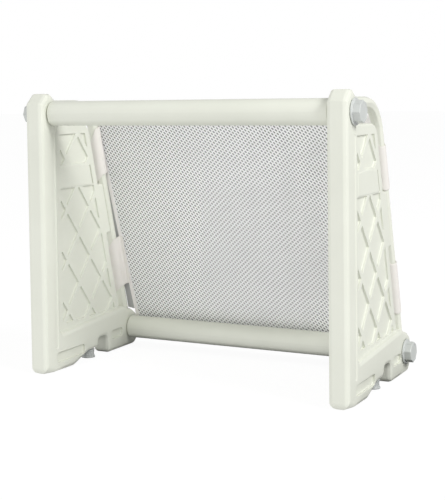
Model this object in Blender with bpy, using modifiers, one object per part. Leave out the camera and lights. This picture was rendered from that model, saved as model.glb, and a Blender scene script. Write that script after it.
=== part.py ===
"""Toddler soccer goal: two blow-moulded side panels, two bars with cap nuts, and a mesh net.

Lengths are millimetres up to the helpers, which turn them into metres. In a panel, y runs back from the
front of the post and z up from the floor. The finished goal stands centred on the origin, facing -Y.
"""
import math

import bmesh
import bpy
from mathutils import Matrix, Vector

MM = 0.001
GAP = 0.3

# Whole goal
HEIGHT = 600.0
DEPTH = 374.0
PANEL_SPAN = 684.0

# Post and head
THICK = 42.0
POST_DEPTH = 57.0
HEAD_FRONT = 21.0
HEAD_FLAT = (22.0, 36.0)
HEAD_REAR = 16.0
EDGE_ROUND = 8.0
GROOVE_Y = (36.0, 46.0)
GROOVE_Z = (50.0, HEIGHT - 85.0)
GROOVE_DEEP = 1.5

# Base
BASE_TOP_FRONT = 80.5
BASE_TOP_REAR = 97.5
BASE_TOP_END = DEPTH - 62.0
NOTCH_Y = (DEPTH - 171.0, DEPTH - 132.0)
RAMP = ((NOTCH_Y[0] - 98.0, 0.0), (NOTCH_Y[0] - 40.0, 20.5))
NOTCH_TOP = 42.0
LIP_Z = 22.5
SCOOPS = ((40.0, RAMP[0][0] + 41.0, 19.0, 41.0), (NOTCH_Y[1] + 16.0, BASE_TOP_END - 7.0, 29.0, 49.0))
SCOOP_DEEP = 6.0
SEAT_MARGIN = 2.0
SEAT_DEEP = 2.5

# Rim, which bends over the top and leans down to the base
LEAN = 0.2664
RIM_R = 12.0
RIM_TOP = HEIGHT - 26.0
RIM_BEND = 78.0
RIM_Y = DEPTH - 104.0
RIM_Z = 354.0

# Web between the post and the rim
WEB_THICK = 23.4
WEB_TOP = HEIGHT - 67.0
WEB_SHOULDER = 30.0
SLOT = 20.3
BRIDGE_Z = (HEIGHT / 2 - 23.0, HEIGHT / 2 + 93.0)
BRIDGE_GROOVE = 2.0
BRIDGE_THICK = 8.0

# Lattice pockets and plaque
CELL_Y = 45.0
CELL_Z = 55.7
LATTICE_Y = 148.0
LATTICE_Z = 291.0
RIB = 11.0
POCKET_DEEP = 5.0
FIELD_FRONT = 78.0
FIELD_BOTTOM = 97.0
FIELD_TOP = HEIGHT - 88.0
FIELD_MARGIN = 19.0
PLAQUE_Z = (BRIDGE_Z[1] + 3.0, BRIDGE_Z[1] + 46.0)
PLAQUE_RISE = 1.0
PLAQUE_ARCH = 3.0
BORDER = 4.0

# Bars and nuts
BAR_R = 26.0
BAR_WALL = 3.0
SPIGOT_R = 12.0
SPIGOT_BORE = 9.0
TOP_AXIS = (39.0, HEIGHT - 42.0)
BOTTOM_AXIS = (DEPTH - 32.0, 45.0)
FLANGE_R = 26.5
FLANGE_THICK = 3.5
GRIP_R = 22.0
GRIP_LONG = 15.0
GRIP_SIDES = 8
NUT_BORE_DEEP = 12.0

# Net and its binding
HEM_THICK = 2.4
NET_THICK = 1.6
NET_TOP = HEIGHT - 52.0
NET_BOTTOM = 40.0
HEM_TOP = 18.0
HEM_BOTTOM = 22.0
HEM_INNER = (4.0, 32.0)
HEM_OUTER = (-2.0, 4.0)
HEM_STEP_Z = 85.0
NET_COLUMNS = 15
NET_ROWS = 10
STRAND = 6.0

# Flaps that hold the net to the rim, each with its ends inside the goal and outside it
FLAP_THICK = 1.5
FLAPS = {
    "upper": ((BRIDGE_Z[1] + 22.0, HEIGHT - 78.0), (BRIDGE_Z[1] + 3.0, HEIGHT - 113.0)),
    "lower": ((BASE_TOP_REAR + 47.5, BRIDGE_Z[0] - 16.0), (BASE_TOP_REAR + 32.5, BRIDGE_Z[0] - 37.0)),
}
FLAP_DROP = (-35.0, -120.0)
PATCH_THICK = 1.2

# Suction cups
CUP_Y = NOTCH_Y[0] - 14.0
CUP_R = 15.5
CUP_TOP = 27.0
NECK_R = 4.5

IVORY = (0.80, 0.81, 0.71, 1.0)
GREY = (0.55, 0.58, 0.56, 1.0)
WHITE = (0.90, 0.90, 0.89, 1.0)
CLEAR = (0.42, 0.43, 0.43, 1.0)

SLOPE = math.hypot(1.0, LEAN)
DOWN = Vector((LEAN / SLOPE, -1.0 / SLOPE))
OUT = Vector((1.0 / SLOPE, LEAN / SLOPE))
BAR_BEHIND = (BOTTOM_AXIS[0] - RIM_Y) * OUT.x + (BOTTOM_AXIS[1] - RIM_Z) * OUT.y
HEM_FRONT = BAR_BEHIND + BAR_R + GAP
NET_MID = HEM_FRONT + HEM_THICK / 2
FLAP_R = RIM_R + GAP + FLAP_THICK / 2

SIDE_VIEW = Matrix(((0, 0, 1, 0), (1, 0, 0, 0), (0, 1, 0, 0), (0, 0, 0, 1)))
BACK_VIEW = Matrix(((1, 0, 0, 0), (0, -DOWN.x, -OUT.x, 0), (0, -DOWN.y, -OUT.y, 0), (0, 0, 0, 1)))
ALONG_RIM = Matrix(((1, 0, 0, 0), (0, OUT.x, -DOWN.x, 0), (0, OUT.y, -DOWN.y, 0), (0, 0, 0, 1)))
AXIS_X = Matrix.Rotation(math.radians(90), 4, "Y")

for old in list(bpy.data.objects):
    bpy.data.objects.remove(old, do_unlink=True)
GOAL = bpy.data.collections.new("soccer_goal")
CUTTERS = bpy.data.collections.new("cutters")
bpy.context.scene.collection.children.link(GOAL)
bpy.context.scene.collection.children.link(CUTTERS)


def rim_y(z):
    """Centre line of the straight part of the rim."""
    return RIM_Y + LEAN * (RIM_Z - z)


def web_y(z):
    """Rear edge of the web, one slot in front of the rim."""
    return rim_y(z) - (RIM_R + SLOT) * SLOPE


def field_y(z):
    """Rear edge of the lattice field."""
    return web_y(z) - FIELD_MARGIN


def hem_x(edge, z):
    """Hem edge, measured in from the panel's middle, at a height on the net."""
    share = (NET_TOP - z) / (NET_TOP - NET_BOTTOM)
    return edge[0] + (edge[1] - edge[0]) * share


def up_net(z, out=None):
    """Distance up the net's plane from the rim's reference point to a height."""
    offset = NET_MID if out is None else out
    return (z - RIM_Z - offset * OUT.y) / -DOWN.y


def rounded(corners, steps=5):
    """Outline with each (a, b, radius) corner turned into an arc."""
    points = []
    count = len(corners)
    for index, (a, b, radius) in enumerate(corners):
        corner = Vector((a, b))
        if radius == 0:
            points.append(corner)
            continue
        back = (Vector(corners[index - 1][:2]) - corner).normalized()
        ahead = (Vector(corners[(index + 1) % count][:2]) - corner).normalized()
        half = back.angle(ahead) / 2
        centre = corner + (back + ahead).normalized() * radius / math.sin(half)
        start = corner + back * radius / math.tan(half) - centre
        end = corner + ahead * radius / math.tan(half) - centre
        turn = start.angle_signed(end)
        for step in range(steps + 1):
            points.append(centre + Matrix.Rotation(-turn * step / steps, 2) @ start)
    return points


def material(name, colour, rough):
    """One plain shader per piece."""
    made = bpy.data.materials.new(name)
    made.use_nodes = True
    shader = made.node_tree.nodes["Principled BSDF"]
    shader.inputs["Base Color"].default_value = colour
    shader.inputs["Roughness"].default_value = rough
    return made


def add(name, mesh, group, place=(0, 0, 0)):
    """Link a mesh as an object of a collection."""
    made = bpy.data.objects.new(name, mesh)
    made.location = Vector(place) * MM
    group.objects.link(made)
    if group is CUTTERS:
        made.hide_render = True
        made.display_type = "WIRE"
    return made


def finish(made, colour, rough=0.5, smooth=30):
    """Give a piece its own material and smooth its round faces."""
    made.data.materials.clear()
    made.data.materials.append(material(made.name, colour, rough))
    made.data.shade_smooth()
    made.data.set_sharp_from_angle(angle=math.radians(smooth))
    return made


def mesh_of(curve, turn):
    """Welded mesh of a curve, turned into place, in metres."""
    holder = bpy.data.objects.new("curve", curve)
    bpy.context.scene.collection.objects.link(holder)
    bpy.context.view_layer.update()
    seen = holder.evaluated_get(bpy.context.evaluated_depsgraph_get())
    mesh = bpy.data.meshes.new_from_object(seen)
    bpy.data.objects.remove(holder, do_unlink=True)
    work = bmesh.new()
    work.from_mesh(mesh)
    bmesh.ops.remove_doubles(work, verts=work.verts, dist=0.01)
    bmesh.ops.dissolve_limit(work, angle_limit=0.001, verts=work.verts, edges=work.edges)
    bmesh.ops.recalc_face_normals(work, faces=work.faces)
    work.transform(Matrix.Scale(MM, 4) @ turn)
    work.to_mesh(mesh)
    work.free()
    return mesh


def plate(outlines, low, high, turn=SIDE_VIEW):
    """Flat pieces with these outlines, from low to high across their plane."""
    curve = bpy.data.curves.new("outline", "CURVE")
    curve.dimensions = "2D"
    curve.fill_mode = "BOTH"
    curve.extrude = (high - low) / 2
    for outline in outlines:
        spline = curve.splines.new("POLY")
        spline.points.add(len(outline) - 1)
        spline.use_cyclic_u = True
        for point, (a, b) in zip(spline.points, outline):
            point.co = (a, b, 0, 1)
    return mesh_of(curve, turn @ Matrix.Translation((0, 0, (low + high) / 2)))


def ribbon(points, turn):
    """Open sheet that follows a line of (a, b, low, high) points, from low to high across their plane."""
    verts = []
    for a, b, low, high in points:
        verts += [(a, b, low), (a, b, high)]
    faces = [(step, step + 1, step + 3, step + 2) for step in range(0, len(verts) - 2, 2)]
    mesh = bpy.data.meshes.new("ribbon")
    mesh.from_pydata(verts, [], faces)
    mesh.transform(Matrix.Scale(MM, 4) @ turn)
    return mesh


def rod(path, radius):
    """Round rod with filled ends along a path in a panel's middle plane."""
    curve = bpy.data.curves.new("rod", "CURVE")
    curve.dimensions = "3D"
    curve.bevel_depth = radius
    curve.bevel_resolution = 2
    curve.use_fill_caps = True
    spline = curve.splines.new("POLY")
    spline.points.add(len(path) - 1)
    for point, (y, z) in zip(spline.points, path):
        point.co = (0, y, z, 1)
    return mesh_of(curve, Matrix.Identity(4))


def cylinder(radius, low, high, turn, sides=28):
    """Cylinder from low to high along the turned Z axis."""
    work = bmesh.new()
    middle = turn @ Matrix.Translation((0, 0, (low + high) / 2))
    bmesh.ops.create_cone(work, cap_ends=True, segments=sides, radius1=radius, radius2=radius,
                          depth=high - low, matrix=middle)
    work.transform(Matrix.Scale(MM, 4))
    mesh = bpy.data.meshes.new("cylinder")
    work.to_mesh(mesh)
    work.free()
    return mesh


def turned(name, profile, place, axis, closed, sides=32):
    """Piece turned about its own Z axis from a profile that runs from top to bottom."""
    edges = [(index, index + 1) for index in range(len(profile) - 1)]
    if closed:
        edges.append((len(profile) - 1, 0))
    mesh = bpy.data.meshes.new(name)
    mesh.from_pydata([(radius * MM, 0, high * MM) for radius, high in profile], edges, [])
    made = add(name, mesh, GOAL, place)
    made.rotation_euler = axis.to_euler()
    screw = made.modifiers.new("turn", "SCREW")
    screw.steps = sides
    screw.render_steps = sides
    screw.use_merge_vertices = True
    screw.merge_threshold = 0.00001
    screw.use_smooth_shade = True
    return made


def boolean(made, other, operation):
    """Exact Boolean with a hidden piece."""
    step = made.modifiers.new(other.name, "BOOLEAN")
    step.operation = operation
    step.solver = "EXACT"
    step.object = other


def bevel(made, width, segments, angle):
    """Rounded edges where faces meet more sharply than the angle."""
    step = made.modifiers.new("round", "BEVEL")
    step.width = width * MM
    step.segments = segments
    step.limit_method = "ANGLE"
    step.angle_limit = math.radians(angle)
    step.use_clamp_overlap = False


def clipped(outline, a, b, limit):
    """Part of a convex outline where a * y + b * z is no more than the limit."""
    kept = []
    for index, point in enumerate(outline):
        before = outline[index - 1]
        depth = a * point[0] + b * point[1] - limit
        depth_before = a * before[0] + b * before[1] - limit
        if depth * depth_before < 0:
            share = depth_before / (depth_before - depth)
            kept.append(tuple(p + (q - p) * share for p, q in zip(before, point)))
        if depth <= 0:
            kept.append(point)
    return kept


def area(outline):
    """Area inside an outline."""
    pairs = zip(outline, outline[1:] + outline[:1])
    return abs(sum(p[0] * q[1] - q[0] * p[1] for p, q in pairs)) / 2


def frame_outline():
    """Post and base in one outline, from the front of the foot round the base and up the post."""
    return rounded([
        (0, 0, 14), (*RAMP[0], 30), (*RAMP[1], 20), (NOTCH_Y[0], LIP_Z, 9), (NOTCH_Y[0], NOTCH_TOP, 9),
        (NOTCH_Y[1], NOTCH_TOP, 12), (NOTCH_Y[1], 0, 9), (DEPTH, 0, 24), (DEPTH, BOTTOM_AXIS[1] + 24, 14),
        (DEPTH - 22, BASE_TOP_REAR - 13, 16), (BASE_TOP_END, BASE_TOP_REAR, 12),
        (POST_DEPTH, BASE_TOP_FRONT, 10), (POST_DEPTH, HEIGHT - HEAD_REAR, 0), (HEAD_FLAT[1], HEIGHT, 0),
        (HEAD_FLAT[0], HEIGHT, 0), (0, HEIGHT - HEAD_FRONT, 0)])


def web_outline():
    """Web with a shoulder at the top and a tab that bridges the gap to the rim."""
    low, high = BRIDGE_Z
    tab = SLOT * SLOPE - BRIDGE_GROOVE
    foot = BASE_TOP_FRONT - 20
    return rounded([
        (POST_DEPTH - 15, foot, 0), (web_y(foot), foot, 0), (web_y(low), low, 4), (web_y(low) + tab, low, 3),
        (web_y(high) + tab, high, 3), (web_y(high), high, 4), (web_y(WEB_TOP), WEB_TOP, WEB_SHOULDER),
        (POST_DEPTH - 15, WEB_TOP, 0)])


def bridge_outline():
    """Thin web that joins the tab to the rim."""
    low, high = BRIDGE_Z[0] + 3, BRIDGE_Z[1] - 3
    return [(web_y(low) + 10, low), (rim_y(low), low), (rim_y(high), high), (web_y(high) + 10, high)]


def rim_path():
    """Centre line of the rim, from inside the head to inside the base."""
    centre = Vector((0, RIM_TOP - RIM_BEND))
    end_z = centre.y + RIM_BEND * OUT.y
    centre.x = rim_y(end_z) - RIM_BEND * OUT.x
    turn = math.acos(OUT.y)
    path = [(POST_DEPTH - 20, RIM_TOP)]
    for step in range(9):
        angle = turn * step / 8
        path.append((centre.x + RIM_BEND * math.sin(angle), centre.y + RIM_BEND * math.cos(angle)))
    path.append((rim_y(BASE_TOP_REAR - 25), BASE_TOP_REAR - 25))
    return path


def pockets():
    """Diamond pockets of the lattice above and below the plaque, and a strip behind the plaque."""
    apothem = CELL_Y * CELL_Z / math.hypot(CELL_Y, CELL_Z)
    share = 1 - RIB / 2 / apothem
    bands = ((FIELD_BOTTOM, PLAQUE_Z[0] - 3), (PLAQUE_Z[1] + PLAQUE_ARCH + 3, FIELD_TOP))
    cells = []
    for column in range(-2, 5):
        for row in range(-5, 6):
            if (column + row) % 2 == 0:
                continue
            y = LATTICE_Y + column * CELL_Y
            z = LATTICE_Z + row * CELL_Z
            diamond = [(y - CELL_Y * share, z), (y, z - CELL_Z * share), (y + CELL_Y * share, z),
                       (y, z + CELL_Z * share)]
            for low, high in bands:
                cell = clipped(diamond, -1, 0, -FIELD_FRONT)
                cell = clipped(cell, 0, -1, -low)
                cell = clipped(cell, 0, 1, high)
                cell = clipped(cell, 1, LEAN, field_y(0))
                if len(cell) > 2 and area(cell) > 60:
                    cells.append(cell)
    low, high = PLAQUE_Z[0] - 1, PLAQUE_Z[1] + 1
    cells.append([(field_y(low) - BORDER, low), (field_y(low), low), (field_y(high), high),
                  (field_y(high) - BORDER, high)])
    return cells


def plaque_outline():
    """Bare plaque across the lattice, with a slightly arched top."""
    low, high = PLAQUE_Z
    front = FIELD_FRONT + 4
    rear = field_y(high) - 2 * BORDER
    points = [(front, low), (field_y(low) - 2 * BORDER, low)]
    for step in range(9):
        share = step / 8
        points.append((rear + (front - rear) * share, high + PLAQUE_ARCH * math.sin(math.pi * share)))
    return points


def box_outline(y0, y1, z0, z1, radius):
    """Rounded rectangle in a side view."""
    return rounded([(y0, z0, radius), (y1, z0, radius), (y1, z1, radius), (y0, z1, radius)], 4)


def panel(side, name):
    """Side panel: post and base, web, bridge, plaque and rim made one, then the pockets and holes cut."""
    place = (side * PANEL_SPAN / 2, -DEPTH / 2, 0)
    half = THICK / 2
    skin = WEB_THICK / 2
    made = add("side_panel_" + name, plate([frame_outline()], -half, half), GOAL, place)
    bevel(made, EDGE_ROUND, 2, 60)
    web = add("web_" + name, plate([web_outline()], -skin, skin), CUTTERS, place)
    bevel(web, 3, 1, 60)
    bridge = plate([bridge_outline()], -BRIDGE_THICK / 2, BRIDGE_THICK / 2)
    plaque = plate([plaque_outline()], -skin - PLAQUE_RISE, skin + PLAQUE_RISE)
    boolean(made, web, "UNION")
    boolean(made, add("bridge_" + name, bridge, CUTTERS, place), "UNION")
    boolean(made, add("rim_" + name, rod(rim_path(), RIM_R), CUTTERS, place), "UNION")
    boolean(made, add("plaque_" + name, plaque, CUTTERS, place), "UNION")
    cuts = {
        "pockets_": plate(pockets(), skin - POCKET_DEEP, skin + 4),
        "scoops_": plate([box_outline(*scoop, 7) for scoop in SCOOPS], half - SCOOP_DEEP, half + 5),
        "groove_": plate([box_outline(*GROOVE_Y, *GROOVE_Z, 4)], half - GROOVE_DEEP, half + 6),
    }
    for label, mesh in cuts.items():
        cutter = add(label + name, mesh, CUTTERS, place)
        cutter.modifiers.new("both faces", "MIRROR")
        boolean(made, cutter, "DIFFERENCE")
    seat_span = sorted((side * (half - SEAT_DEEP), side * (half + 7)))
    seat_front = BOTTOM_AXIS[0] - FLANGE_R - 4 * SEAT_MARGIN
    seat_top = BOTTOM_AXIS[1] + FLANGE_R + SEAT_MARGIN
    seat = plate([box_outline(seat_front, DEPTH + 40, -40, seat_top, 8)], *seat_span)
    boolean(made, add("seat_" + name, seat, CUTTERS, place), "DIFFERENCE")
    for label, (y, z) in (("top_", TOP_AXIS), ("bottom_", BOTTOM_AXIS)):
        hole = cylinder(SPIGOT_R + GAP, -half - 9, half + 9, Matrix.Translation((0, y, z)) @ AXIS_X)
        boolean(made, add("hole_" + label + name, hole, CUTTERS, place), "DIFFERENCE")
    socket = cylinder(NECK_R + GAP, LIP_Z - 12, CUP_TOP + GAP, Matrix.Translation((0, CUP_Y, 0)), 20)
    boolean(made, add("socket_" + name, socket, CUTTERS, place), "DIFFERENCE")
    return finish(made, IVORY, 0.55)


def bar(name, axis, seat_deep):
    """Hollow bar that butts the panels, with a spigot at each end that runs through into the nuts."""
    end = PANEL_SPAN / 2 - THICK / 2 - GAP
    tip = PANEL_SPAN / 2 + THICK / 2 - seat_deep + GAP + NUT_BORE_DEEP - 2
    inner = BAR_R - BAR_WALL
    neck = end - BAR_WALL * 2
    outside = [(SPIGOT_R, tip), (SPIGOT_R, end), (BAR_R - 1.5, end), (BAR_R, end - 1.5)]
    inside = [(inner, neck), (SPIGOT_BORE, neck), (SPIGOT_BORE, tip)]
    profile = outside + [(radius, -z) for radius, z in reversed(outside)]
    profile += [(radius, -z) for radius, z in reversed(inside)] + inside
    made = turned(name, profile, (0, axis[0] - DEPTH / 2, axis[1]), AXIS_X, True)
    return finish(made, IVORY, 0.5)


def nut(name, side, axis, seat_deep, facet):
    """Cap nut: round flange, faceted grip left at a share of a facet, and a blind bore over the spigot."""
    flip = AXIS_X if side > 0 else Matrix.Rotation(math.radians(-90), 4, "Y")
    stop = Matrix.Rotation(side * 2 * math.pi / GRIP_SIDES * facet, 4, "Z")
    face = PANEL_SPAN / 2 + THICK / 2 - seat_deep + GAP
    place = (side * face, axis[0] - DEPTH / 2, axis[1])
    made = add(name, cylinder(FLANGE_R, 0, FLANGE_THICK, flip, 36), GOAL, place)
    bevel(made, 1.2, 2, 60)
    prism = cylinder(GRIP_R, 1, FLANGE_THICK + GRIP_LONG, flip @ stop, GRIP_SIDES)
    grip = add("grip_" + name, prism, CUTTERS, place)
    bevel(grip, 2, 2, 60)
    boolean(made, grip, "UNION")
    bore = cylinder(SPIGOT_R + GAP, -6, NUT_BORE_DEEP, flip)
    boolean(made, add("bore_" + name, bore, CUTTERS, place), "DIFFERENCE")
    return finish(made, GREY, 0.45)


def on_net(name, outline, low, high, colour=WHITE):
    """Flat fabric piece in the net's plane, from low to high behind the rim's centre line."""
    mesh = plate([outline], -high, -low, BACK_VIEW)
    return finish(add(name, mesh, GOAL, (0, RIM_Y - DEPTH / 2, RIM_Z)), colour, 0.9)


def side_hem(side, name):
    """Binding down one side of the net, stepped in above the base."""
    inward = THICK / 2 + 2 * GAP
    edge = [(HEM_OUTER, NET_TOP, 0), (HEM_OUTER, HEM_STEP_Z, 0), (None, HEM_STEP_Z, inward),
            (None, NET_BOTTOM, inward), (HEM_INNER, NET_BOTTOM, 0), (HEM_INNER, NET_TOP, 0)]
    outline = []
    for taper, z, fixed in edge:
        x = hem_x(taper, z) if taper else fixed
        outline.append((side * (PANEL_SPAN / 2 - x), up_net(z)))
    on_net("hem_" + name, outline, HEM_FRONT, HEM_FRONT + HEM_THICK)


def net_width(z):
    """Half the width left for the mesh between the side hems."""
    return PANEL_SPAN / 2 - hem_x(HEM_INNER, z) - GAP


def cross_hem(name, low, high):
    """Binding along the top or bottom of the net."""
    outline = [(-net_width(low), up_net(low)), (net_width(low), up_net(low)),
               (net_width(high), up_net(high)), (-net_width(high), up_net(high))]
    on_net(name, outline, HEM_FRONT, HEM_FRONT + HEM_THICK)


def net():
    """Mesh between the hems, with an open gap in each cell."""
    low = NET_BOTTOM + HEM_BOTTOM + GAP
    high = NET_TOP - HEM_TOP - GAP
    work = bmesh.new()
    bmesh.ops.create_grid(work, x_segments=NET_COLUMNS, y_segments=NET_ROWS, size=1)
    for vert in work.verts:
        z = low + (high - low) * (vert.co.y + 1) / 2
        vert.co = Vector((vert.co.x * net_width(z), up_net(z), -NET_MID)) * MM
    gaps = list(work.faces)
    bmesh.ops.inset_individual(work, faces=gaps, thickness=STRAND * MM, use_even_offset=True)
    bmesh.ops.delete(work, geom=gaps, context="FACES")
    work.transform(BACK_VIEW)
    mesh = bpy.data.meshes.new("net_mesh")
    work.to_mesh(mesh)
    work.free()
    made = add("net_mesh", mesh, GOAL, (0, RIM_Y - DEPTH / 2, RIM_Z))
    shell = made.modifiers.new("strand", "SOLIDIFY")
    shell.thickness = NET_THICK * MM
    shell.offset = 0
    return finish(made, WHITE, 0.9)


def flap_line(start, end, reach):
    """Flap seen along the rim, from the hem's front to behind it, with its drop in front of the rim."""
    lay = HEM_FRONT - GAP - FLAP_THICK / 2
    behind = HEM_FRONT + HEM_THICK + PATCH_THICK + 2 * GAP + FLAP_THICK / 2
    edge = Vector((reach - FLAP_THICK - GAP, behind - FLAP_THICK - GAP * 2))
    leave = math.degrees(math.atan2(edge.y, edge.x) + math.acos(FLAP_R / edge.length)) - 360
    points = [(start, lay, 0)]
    if start > FLAP_R:
        points.append((FLAP_R + 2, lay - 1.5, 0))
    points.append((FLAP_R - 0.6, FLAP_R * 0.62, 0))
    for step in range(13):
        degrees = 10 + (leave - 10) * step / 12
        drop = min(1.0, max(0.0, (degrees - FLAP_DROP[0]) / (FLAP_DROP[1] - FLAP_DROP[0])))
        angle = math.radians(degrees)
        points.append((FLAP_R * math.cos(angle), FLAP_R * math.sin(angle), drop))
    tail = [tuple(edge), (edge.x + 0.8, behind - 0.8), (edge.x + 3, behind), (end, behind)]
    return points + [(x, out, 1) for x, out in tail]


def flap(side, name, level):
    """Flap sewn to the hem, lower outside the goal than inside, with the hook patch that closes it."""
    inside, (low, high) = FLAPS[level]
    middle = (low + high) / 2
    outer = hem_x(HEM_OUTER, middle)
    inner = hem_x(HEM_INNER, middle)
    line = []
    for x, out, drop in flap_line(inner - 2, inner - 1, hem_x(HEM_OUTER, inside[1])):
        ends = [up_net(first + (last - first) * drop, 0) for first, last in zip(inside, (low, high))]
        line.append((-side * x, out, *ends))
    made = add("flap_%s_%s" % (level, name), ribbon(line, ALONG_RIM), GOAL,
               (side * PANEL_SPAN / 2, RIM_Y - DEPTH / 2, RIM_Z))
    shell = made.modifiers.new("cloth", "SOLIDIFY")
    shell.thickness = FLAP_THICK * MM
    shell.offset = 0
    shell.use_even_offset = True
    finish(made, WHITE, 0.9)
    back = HEM_FRONT + HEM_THICK + GAP
    sides = [side * (PANEL_SPAN / 2 - x) for x in (outer + 3, inner - 3)]
    rows = (up_net(low, 0) + 6, up_net(high, 0) - 6)
    outline = [(sides[0], rows[0]), (sides[1], rows[0]), (sides[1], rows[1]), (sides[0], rows[1])]
    on_net("hook_patch_%s_%s" % (level, name), outline, back, back + PATCH_THICK)


def suction_cup(side, name):
    """Soft cup plugged into the underside of a base."""
    top = LIP_Z - 3.5
    profile = [(0, CUP_TOP), (NECK_R, CUP_TOP), (NECK_R, top), (CUP_R - 2, top), (CUP_R - 1, top - 1.5),
               (CUP_R - 2.5, top / 2), (CUP_R - 1, 3.5), (CUP_R, 1.2), (CUP_R, GAP), (CUP_R - 2, GAP),
               (CUP_R - 7, 4.5), (0, 6)]
    made = turned("suction_cup_" + name, profile, (side * PANEL_SPAN / 2, CUP_Y - DEPTH / 2, 0),
                  Matrix.Identity(4), False, 28)
    return finish(made, CLEAR, 0.3)


for hand, label in ((-1, "left"), (1, "right")):
    panel(hand, label)
    nut("nut_top_" + label, hand, TOP_AXIS, 0, 0.11)
    nut("nut_bottom_" + label, hand, BOTTOM_AXIS, SEAT_DEEP, 0.8)
    side_hem(hand, label)
    for row_name in FLAPS:
        flap(hand, label, row_name)
    suction_cup(hand, label)
bar("crossbar_top", TOP_AXIS, 0)
bar("crossbar_bottom", BOTTOM_AXIS, SEAT_DEEP)
cross_hem("hem_top", NET_TOP - HEM_TOP, NET_TOP)
cross_hem("hem_bottom", NET_BOTTOM, NET_BOTTOM + HEM_BOTTOM)
net()
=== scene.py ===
"""Looks of the toddler soccer goal: moulded panels, bars, nuts, knitted net, binding, flaps and cups.

Lengths are millimetres up to the point where they become mesh. The camera, the lamp and the cards under the
goal are placed in metres. Fabric is laid out in the net's leaning plane: x across the goal, up along the rim,
out behind the rim's centre line.
"""
import math

import bmesh
import bpy
from mathutils import Matrix, Vector, noise


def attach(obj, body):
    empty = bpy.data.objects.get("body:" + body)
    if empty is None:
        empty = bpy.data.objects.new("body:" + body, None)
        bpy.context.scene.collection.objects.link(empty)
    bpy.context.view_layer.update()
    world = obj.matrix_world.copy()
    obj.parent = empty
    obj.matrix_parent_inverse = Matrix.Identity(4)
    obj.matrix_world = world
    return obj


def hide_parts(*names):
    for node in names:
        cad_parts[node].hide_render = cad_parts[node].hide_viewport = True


MM = 0.001
GAP = 0.3

# The goal's own sizes, as in its solids
HEIGHT = 600.0
DEPTH = 374.0
PANEL_SPAN = 684.0
THICK = 42.0
LEAN = 0.2664
RIM_R = 12.0
RIM_Y = DEPTH - 104.0
RIM_Z = 354.0
BAR_R = 26.0
TOP_AXIS = (39.0, HEIGHT - 42.0)
BOTTOM_AXIS = (DEPTH - 32.0, 45.0)
BASE_TOP_REAR = 97.5
SEAT_DEEP = 2.5
SPIGOT_R = 12.0
FLANGE_R = 26.5
FLANGE_THICK = 3.5
GRIP_R = 22.0
GRIP_LONG = 15.0
GRIP_SIDES = 8
NUT_BORE_DEEP = 12.0
TOP_NUT_TURN = 0.11
BOTTOM_NUT_TURN = 0.8
HEM_THICK = 2.4
NET_THICK = 1.6
NET_TOP = HEIGHT - 52.0
NET_BOTTOM = 40.0
HEM_TOP = 18.0
HEM_BOTTOM = 22.0
HEM_INNER = (4.0, 32.0)
HEM_OUTER = (-2.0, 4.0)
HEM_STEP_Z = 85.0
FLAP_THICK = 1.5
PATCH_THICK = 1.2
BRIDGE_Z = (HEIGHT / 2 - 23.0, HEIGHT / 2 + 93.0)
FLAPS = {
    "upper": ((BRIDGE_Z[1] + 22.0, HEIGHT - 78.0), (BRIDGE_Z[1] + 3.0, HEIGHT - 113.0)),
    "lower": ((BASE_TOP_REAR + 47.5, BRIDGE_Z[0] - 16.0), (BASE_TOP_REAR + 32.5, BRIDGE_Z[0] - 37.0)),
}
FLAP_DROP = (-35.0, -120.0)
CUP_Y = DEPTH - 185.0
CUP_R = 15.5
CUP_TOP = 27.0
NECK_R = 4.5
LIP_Z = 22.5

# Detail of the mouldings
VOXEL = 0.9
SEAM_WIDE = 0.7
FOOT_ROUND = 20.5
FOOT_FADE = (8.0, 58.0)

# Detail of the net: steps from hole to hole, and each hole's half length and half width, as (x, up)
MESH_STEPS = ((8.1, -3.6), (4.8, 4.3))
HOLE = ((2.1, -2.1), (0.9, 0.9))
# Small holes of the nearly black sheet inside the net, which is painted shade for the net's holes
SHADE_SHEET_HOLE = ((0.8, -0.8), (0.6, 0.6))
HOLE_CORNER = 0.82
YARN_CROWN = 0.35
EDGE_YARN = 0.8

# Detail of the fabric round it: a pinch is (depth, width) and a swell is (height, size)
STITCH_LONG = 3.2
STITCH_GAP = 1.3
STITCH_R = 0.32
STITCH_RISE = 0.35
STITCH_SINK = 0.5
STITCH_BASE = STITCH_R * 0.4 - 0.15
STITCH_TIP = 0.35
STITCH_SPAN = (0.15, 0.85)
STITCH_SIDES = 6
SEAM_INSET = 3.0
# Width of the side hem's light edge, beyond which the hem carries painted shade
UNSHADED_EDGE = 9.0
TAPE_EDGE = 0.9
TAPE_TIP = 0.35
TAPE_SPARE = 0.12
TAPE_PINCH = (0.28, 0.7)
TAPE_SWELL = (0.10, 14.0)
FLAP_MEETS = 10.0
FLAP_STEP = 1.6
FLAP_EDGE = 1.2
FLAP_PINCH = (0.16, 0.8)
FLAP_SWELL = (0.25, 11.0)
THINNEST = 0.05
PATCH_SIDE = 3.0
PATCH_END = 6.0
PATCH_AIR = 0.15

# Detail of the bars and nuts, with the ends of the bars' flat in degrees up from straight ahead
BAR_FLAT = 1.6
BAR_FLAT_ENDS = (60.0, -38.0)
BAR_RIDGE = 0.25
BAR_RIDGE_SINE = 0.02
BAR_NECK = 3.2
BAR_NECK_DEEP = 5.0
BAR_EASE = 1.5
SPIGOT_SHORT = 2.0
SPIGOT_CHAMFER = 1.0
FLANGE_CUT = 1.6
FLANGE_CHAMFER = 0.3
FLANGE_EASE = 1.0
GRIP_EASE = 1.6
GROOVE_DEEP = 0.5
GROOVE_SHARE = 0.03
DISH_DEEP = 0.5
DISH_IN = (5.0, 6.0)
DISH_R = 2.0

# Photo frame and its camera
IMAGE = (445, 500)
SENSOR = 36.0
FOCAL_PIXELS = 1141.94
AXIS_PIXEL = (222.5, 160.0)
CAMERA_AT = (1.11475, -1.96471 - DEPTH / 2 * MM, 0.58557)
CAMERA_YAW = 0.474311
CAMERA_PITCH = 0.053898
CAMERA_ROLL = -0.012880

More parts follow.
